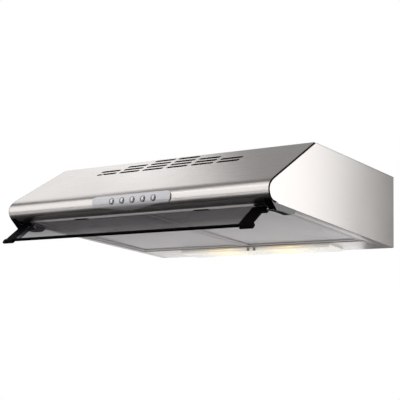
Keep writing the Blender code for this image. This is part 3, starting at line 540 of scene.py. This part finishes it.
def side_skins():
    """Flat sides: 1 mm sheet with the bottom flange folded in and its lip folded up."""
    set_back = SHEET + 2 * GAP + SEAM
    outline = [under_point(0.0008, 0.0002), (0.0008, HEIGHT - SHEET - GAP),
               fold_point(set_back, SHEET + GAP)]
    outline += nose_points(set_back, 24)
    outline += [under_point(SIDE_D, set_back), under_point(SIDE_D, SHEET + GAP)]
    outline += [under_point(FLANGE_D, SHEET + GAP), under_point(FLANGE_D, 0.0002)]
    for name, side in SIDES:
        bm = bmesh.new()
        prism(bm, outline, side * HALF_W, side * (HALF_W - SHEET), side_on)
        bend = 0.0014
        section = [(HALF_W - 0.0001, 0.0034)]
        section += [(HALF_W - 0.0001 - bend + x, bend + y) for x, y in arc((0, 0), bend, 0, -90, 6)]
        section += [(FLANGE_X + bend + x, bend + y) for x, y in arc((0, 0), bend, -90, -180, 6)]
        section += [(FLANGE_X, 0.0120), (FLANGE_X + SHEET, 0.0120)]
        inner = bend - SHEET
        section += [(FLANGE_X + bend + x, bend + y) for x, y in arc((0, 0), inner, -180, -90, 6)]
        section += [(HALF_W - 0.0001 - bend + x, bend + y) for x, y in arc((0, 0), inner, -90, 0, 6)]
        section += [(HALF_W - 0.0001 - SHEET, 0.0034)]
        prism(bm, section, 0.0016, FLANGE_D, lambda a, b, c: on_underside(side * a, c, b))
        piece("side_skin_" + name, bm, STEEL_SIDE, "hood", ["side_panel_" + name],
              0.00025, 2)


# ---------------------------------------------------------------- controls
def bezel_outline(shrink):
    """Front view of the bezel as (x, h): round ends and a shallow bulge under the buttons."""
    x0, x1 = -0.080 + shrink, 0.100 - shrink
    top, bottom, bulge = 0.0500 - shrink, 0.0282 + shrink, BEZEL_LOW + shrink
    r = 0.0095 - shrink
    out = arc((x1 - r, top - r), r, 0, 90, 10) + arc((x0 + r, top - r), r, 90, 180, 10)
    out += arc((x0 + r, bottom + r), r, 180, 270, 10)
    steps = 40
    for i in range(1, steps):
        t = i / steps
        out.append((-0.070 + t * 0.152, bottom - (bottom - bulge) * math.sin(math.pi * t) ** 1.6))
    out += arc((x1 - r, bottom + r), r, 270, 360, 10)
    return out


def on_nose(x, h, t):
    """A point t proud of the nose whose front-view height is h."""
    r = NOSE_R + t
    rise = (h - NOSE_H) / (NOSE_R + 0.0021)
    return Vector((x, *yz(NOSE_D + r * math.sqrt(max(0.0, 1 - rise * rise)), NOSE_H + r * rise)))


def button_bezel():
    """A pad that follows the nose, its rim rounded off, with a bored well for each button."""
    bm = bmesh.new()
    prism(bm, bezel_outline(0.0), -0.0008, 0.0021, lambda x, h, t: Vector((x, h, t)))
    for i in range(1, 26):
        geom = bm.verts[:] + bm.edges[:] + bm.faces[:]
        bmesh.ops.bisect_plane(bm, geom=geom, plane_co=(0, BEZEL_LOW + i * 0.00115, 0), plane_no=(0, 1, 0))
    for vert in bm.verts:
        vert.co = on_nose(*vert.co)
    wells = bmesh.new()
    for i in range(1, 6):
        low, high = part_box("push_button_%d" % i)
        r = (high.x - low.x) / 2
        centre = Vector(((low.x + high.x) / 2, low.y - 0.01, (low.z + high.z) / 2))
        ring_solid(wells, [(0, 0), (r + 0.0004, 0), (r + 0.0004, 0.03), (0, 0.03)], centre,
                   Vector((0, 1, 0)), 40)
    piece("button_bezel", bm, SILVER, "hood", ["control_bezel"], 0.0009, 4, 40.0,
          [cutter(wells)])


def button_caps():
    """Round push buttons: skirt, rolled shoulder and a domed face."""
    for i in range(1, 6):
        name = "push_button_%d" % i
        low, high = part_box(name)
        r = (high.x - low.x) / 2
        profile = [(0.0, 0.0180), (0.0028, 0.0180), (0.0028, 0.0110), (r, 0.0108), (r, 0.0030)]
        for k in range(1, 15):
            a = math.radians(6 * k)
            profile.append((r * math.cos(a), 0.0030 * (1 - math.sin(a))))
        profile.append((0.0, 0.0))
        bm = bmesh.new()
        ring_solid(bm, profile, Vector(((low.x + high.x) / 2, low.y, (low.z + high.z) / 2)),
                   Vector((0, 1, 0)), 48)
        piece("button_cap_%d" % i, bm, CAP, "button_%d" % i, [name], angle=50.0)


# ---------------------------------------------------------------- visor
def brackets():
    """Black bracket under each front corner, its cheek shaped to the nose and tapering off behind."""
    cheek = arc((NOSE_D, NOSE_H), NOSE_R + GAP, -49, math.degrees(TILT) - 90, 12)
    tail = [under_point(TAIL_D, -GAP), (TAIL_D, 0.0128), (0.4300, 0.0078), (0.4362, 0.0048)]
    tail += [(0.4460, 0.0042), (0.4600, 0.0048), (0.4760, 0.0052), (0.4930, 0.0046)]
    for name, side in SIDES:
        bm = bmesh.new()
        prism(bm, cheek + softened(tail, 0.003)[2:], side * CHEEK_X[0], side * CHEEK_X[1], side_on)
        prism(bm, rect(PLATE_X, PLATE_V), PLATE_U[0], PLATE_U[1],
              lambda a, b, c: on_underside(side * a, c, b))
        bracket = piece("bracket_" + name, bm, BLACK, "hood", ["hinge_bracket_" + name],
                        0.0006, 3)
        # painted sheen: faces turned sideways take the lighter copy of the black moulding, the rest stay
        # near black
        bracket.data.materials.append(BRACKET_SIDE_SHEEN)
        for face in bracket.data.polygons:
            face.material_index = int(abs(face.normal.x) > 0.9)


def visor_parts():
    """Arms with their feet, the smoked pane held between them and the black bar along its front edge."""
    top = VISOR_TOP
    knuckle = arc((0, 0), KNUCKLE_R, -20, -262, 28)
    arm = [(0.0005, top), (0.0590, top), (0.0590, 0.0042), (0.0520, 0.0042)]
    arm += [(0.0130, 0.0032), (0.0080, 0.0004)] + knuckle
    sole = [(0.0550, top), (0.0620, top), (0.0660, 0.0042), (0.0625, 0.0004)]
    sole += [(0.0545, 0.0012), (0.0530, 0.0046)]
    foot = softened(sole, 0.0012)
    ledge = rect((0.0130, 0.0548), (0.0022, 0.0040))
    for name, side in SIDES:
        bm = bmesh.new()
        prism(bm, arm, side * ARM_X[0], side * ARM_X[1], on_visor)
        prism(bm, foot, side * FOOT_X[0], side * FOOT_X[1], on_visor)
        prism(bm, ledge, side * LEDGE_X[0], side * LEDGE_X[1], on_visor)
        piece("arm_" + name, bm, BLACK, "visor", ["visor_arm_" + name], 0.0007, 3)
    bm = bmesh.new()
    pane = rect((-0.0030, VISOR_REACH), (top - 0.0030, top))
    prism(bm, pane, -ARM_X[0] + GAP, ARM_X[0] - GAP, on_visor)
    piece("visor_pane", bm, SMOKE, "visor", ["visor_glass"], 0.0004, 3)
    bm = bmesh.new()
    bar = softened(rect((VISOR_REACH + GAP, 0.0605), (0.0030, top + 0.0004)), 0.0012)
    prism(bm, bar, -ARM_X[0] + GAP, ARM_X[0] - GAP, on_visor)
    piece("visor_bar", bm, BLACK, "visor", ["visor_rail"], 0.0003, 2)


# ---------------------------------------------------------------- underside
def lamp_diffuser():
    """Shallow opal tray with fine prisms along its length, rounded at the rim."""
    low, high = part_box("lamp_cover")
    bm = bmesh.new()
    u0, u1, wall = 0.0120, 0.0750, 0.0020    # rear and front edges, wall thickness
    section = [(u0, -0.0004), (u0, -0.0042), (u0 + 0.0010, -0.0050)]
    ribs = 20
    for k in range(ribs):
        a = u0 + 0.0020 + (u1 - u0 - 0.0040) * k / ribs
        b = u0 + 0.0020 + (u1 - u0 - 0.0040) * (k + 0.5) / ribs
        section += [(a, -0.0050), (b, -0.0048)]
    section += [(u1 - 0.0010, -0.0050), (u1, -0.0042), (u1, -0.0004), (u1 - wall, -0.0004)]
    section += [(u1 - wall, -0.0032), (u0 + wall, -0.0032), (u0 + wall, -0.0004)]
    prism(bm, section, low.x + 0.0008, high.x - 0.0008, lambda a, b, c: on_underside(c, a, b))
    for x in (low.x, high.x - wall):
        near, far = u0 + 0.0004, u1 - 0.0004
        end = [(near, -0.0004), (near, -0.0046), (far, -0.0046), (far, -0.0004)]
        prism(bm, end, x, x + wall, lambda a, b, c: on_underside(c, a, b))
    piece("lamp_diffuser", bm, OPAL, "lamp_cover", ["lamp_cover"], 0.0003, 2, 50.0)


# ---------------------------------------------------------------- room, light and camera
def card(name, size, centre, colour):
    """A flat square of the studio, not part of the object."""
    bm = bmesh.new()
    bmesh.ops.create_grid(bm, x_segments=1, y_segments=1, size=0.5)
    bmesh.ops.scale(bm, vec=(size[0], size[1], 1.0), verts=bm.verts)
    mesh = bpy.data.meshes.new(name)
    bm.to_mesh(mesh)
    bm.free()
    finish = Finish(name)
    finish.put(Base_Color=(*colour, 1.0), Roughness=0.9)
    mesh.materials.append(finish.mat)
    obj = bpy.data.objects.new(name, mesh)
    obj.location = centre
    bpy.context.scene.collection.objects.link(obj)
    return obj


AIM = Vector((0.0, -0.10, -0.08))


def direction(x, y, z):
    return Vector((x, y, z)).normalized()


def softbox(name, centre, facing, size, radiance):
    """An area light at a place, shining one way, with an even brightness over its face."""
    light = bpy.data.lights.new(name, "AREA")
    light.shape = "RECTANGLE"
    light.size, light.size_y = size
    light.energy = radiance * math.pi * size[0] * size[1]
    obj = bpy.data.objects.new(name, light)
    obj.location = centre
    obj.rotation_euler = (-Vector(facing)).to_track_quat("Z", "Y").to_euler()
    obj.visible_camera = False
    bpy.context.scene.collection.objects.link(obj)
    return obj


def studio():
    card("floor", (6.0, 6.0), (0.0, 0.4, -0.80), (0.82, 0.81, 0.80))
    flag = card("black_flag", (5.0, 2.0), (-0.3, -0.58, -0.72), (0.01, 0.01, 0.01))
    flag.visible_camera = False
    flag.visible_diffuse = False
    flag.visible_shadow = False
    softbox("key_front", AIM + 2.4 * direction(-0.56, -0.74, 0.37), (0.56, 0.74, -0.37), (2.4, 2.6), 1.2)
    softbox("key_low", (-0.90, -1.30, -0.60), (0.60, 0.80, 0.20), (2.6, 0.38), 0.66)
    softbox("key_top", AIM + 2.4 * direction(-0.30, -0.42, 0.87), (0.30, 0.42, -0.87), (1.6, 1.1), 1.05)
    softbox("back_left", AIM + 2.6 * direction(-0.775, 0.385, 0.50), (0.775, -0.385, -0.50),
            (1.35, 1.7), 1.05)
    softbox("back_fill", AIM + 2.6 * direction(-0.40, 0.55, 0.72), (0.40, -0.55, -0.72), (1.6, 1.2), 0.24)
    softbox("right_side", (0.72, 0.24, 0.05), (-1.0, 0.0, 0.0), (1.05, 1.3), 1.62)
    softbox("low_back", (-1.085, 0.75, 0.02), (0.0, -1.0, 0.0), (2.1, 0.67), 1.75)
    bpy.context.scene.view_settings.view_transform = "Standard"
    world = bpy.context.scene.world or bpy.data.worlds.new("studio")
    bpy.context.scene.world = world
    world.use_nodes = True
    tree = world.node_tree
    back = tree.nodes["Background"]
    back.inputs["Color"].default_value = (0.13, 0.13, 0.13, 1.0)
    seen = tree.nodes.new("ShaderNodeBackground")
    seen.inputs["Color"].default_value = (1.0, 1.0, 1.0, 1.0)
    path = tree.nodes.new("ShaderNodeLightPath")
    mix = tree.nodes.new("ShaderNodeMixShader")
    tree.links.new(path.outputs["Is Camera Ray"], mix.inputs[0])
    tree.links.new(back.outputs[0], mix.inputs[1])
    tree.links.new(seen.outputs[0], mix.inputs[2])
    tree.links.new(mix.outputs[0], tree.nodes["World Output"].inputs["Surface"])


def camera():
    """Seen from low on the right, as when standing at the hob."""
    yaw, pitch, roll = (math.radians(a) for a in (34.54, 9.82, 1.90))
    right = Vector((math.cos(yaw), math.sin(yaw), 0.0))
    level = Vector((-math.sin(yaw), math.cos(yaw), 0.0))
    ahead = level * math.cos(pitch) + Vector((0, 0, math.sin(pitch)))
    rise = -level * math.sin(pitch) + Vector((0, 0, math.cos(pitch)))
    across = right * math.cos(roll) + rise * math.sin(roll)
    upward = -right * math.sin(roll) + rise * math.cos(roll)
    data = bpy.data.cameras.new("view")
    data.sensor_width = 36.0
    data.lens = 85.97
    obj = bpy.data.objects.new("view", data)
    turn = Matrix((across, upward, -ahead)).transposed().to_4x4()
    obj.matrix_world = Matrix.Translation((1.084, WALL_Y - 1.856, -0.254 - HEIGHT)) @ turn
    bpy.context.scene.collection.objects.link(obj)
    bpy.context.scene.camera = obj


front_wrap()
edge_strips()
side_skins()
button_bezel()
button_caps()
brackets()
visor_parts()
lamp_diffuser()
studio()
camera()
